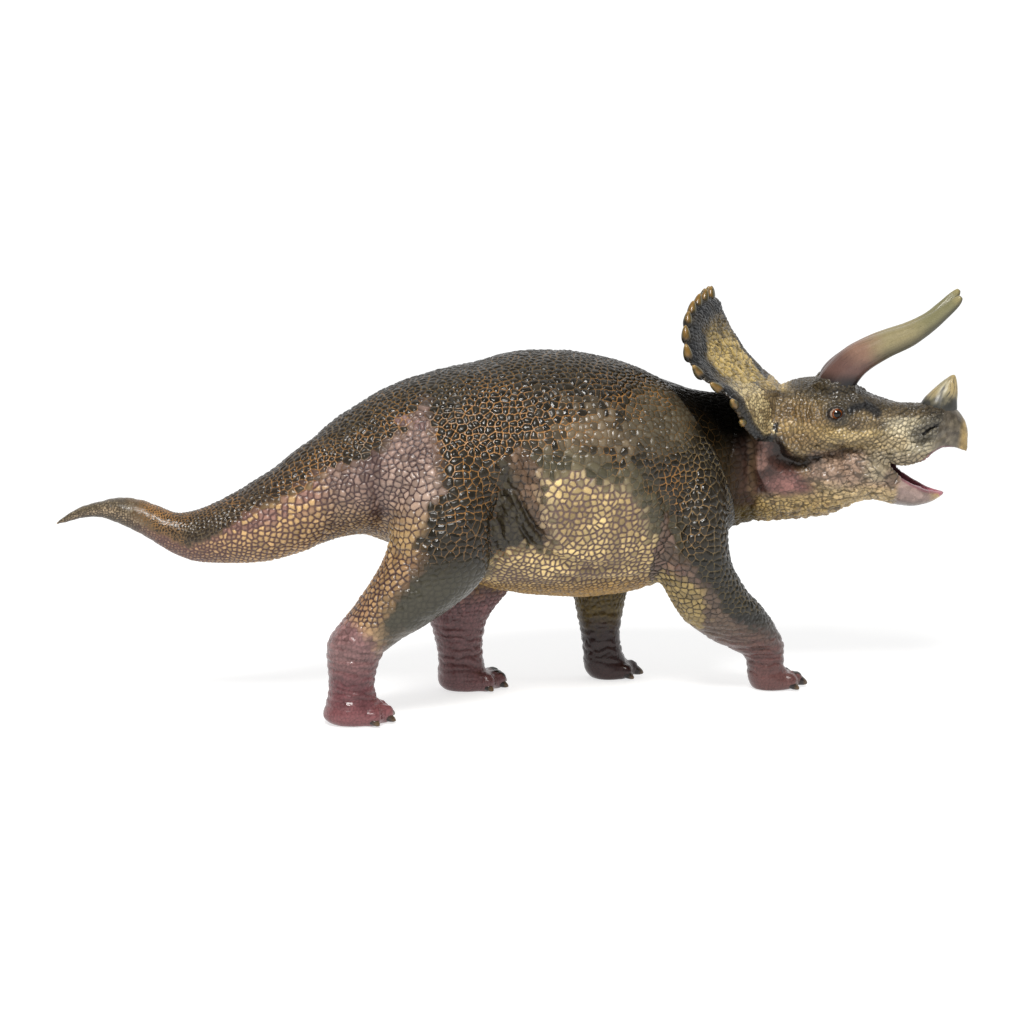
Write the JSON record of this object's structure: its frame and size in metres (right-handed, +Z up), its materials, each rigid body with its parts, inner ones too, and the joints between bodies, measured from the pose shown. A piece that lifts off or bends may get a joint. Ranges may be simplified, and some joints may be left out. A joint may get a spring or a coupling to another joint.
{
  "type": "toy dinosaur figure",
  "caption": "Walking horned dinosaur toy figure: hollow scaly body on pegged legs, neck that swivels in a collar ring, frilled head with horns and a hinged lower jaw.",
  "frame": {"origin": "middle of the figure's bounding box, on the surface it stands on", "axes": "+X from tail to head, +Y to the animal's left, +Z up"},
  "size_m": [0.2818, 0.085, 0.1258],
  "materials": {
    "body_skin": "moulded scales, near-black over gold-brown grooves, satin",
    "tail_skin": "moulded scales, brown over gold, satin",
    "leg_skin": "moulded wrinkles, plum brown, satin",
    "neck_skin": "moulded folds, dark brown, satin",
    "head_skin": "moulded wrinkles, olive tan, satin",
    "jaw_skin": "moulded wrinkles, grey tan, satin",
    "horn": "fine grain, plum base to olive cream",
    "nose_horn": "cream with dark streaks",
    "eye": "orange iris, black pupil, glossy",
    "mouth_pink": "moist pink",
    "inner_plastic": "plain moulded",
    "steel": "plain"
  },
  "bodies": {
    "body": {"torso_right": "body_skin", "torso_left": "body_skin", "tail": "tail_skin", "front_leg_right": "leg_skin", "front_leg_left": "leg_skin", "hind_leg_right": "leg_skin", "hind_leg_left": "leg_skin", "collar_ring": "inner_plastic"},
    "head": {"neck": "neck_skin", "neck_retainer": "inner_plastic", "neck_screw": "steel", "skull": "head_skin", "brow_horn_right": "horn", "brow_horn_left": "horn", "nose_horn": "nose_horn", "eye_right": "eye", "eye_left": "eye", "jaw_pin": "steel"},
    "jaw": {"lower_jaw": "jaw_skin", "tongue": "mouth_pink"}
  },
  "joints": [
    {"name": "neck_swivel", "type": "hinge", "parent": "body", "child": "head", "pos_m": [0.05626, 0.00649, 0.075], "axis": [0.898, 0, 0.4399], "range_deg": [-12, 12]},
    {"name": "jaw_hinge", "type": "hinge", "parent": "head", "child": "jaw", "pos_m": [0.09523, -0.00834, 0.077], "axis": [0.4384, 0.8988, 0], "range_deg": [-9, 3]}
  ]
}
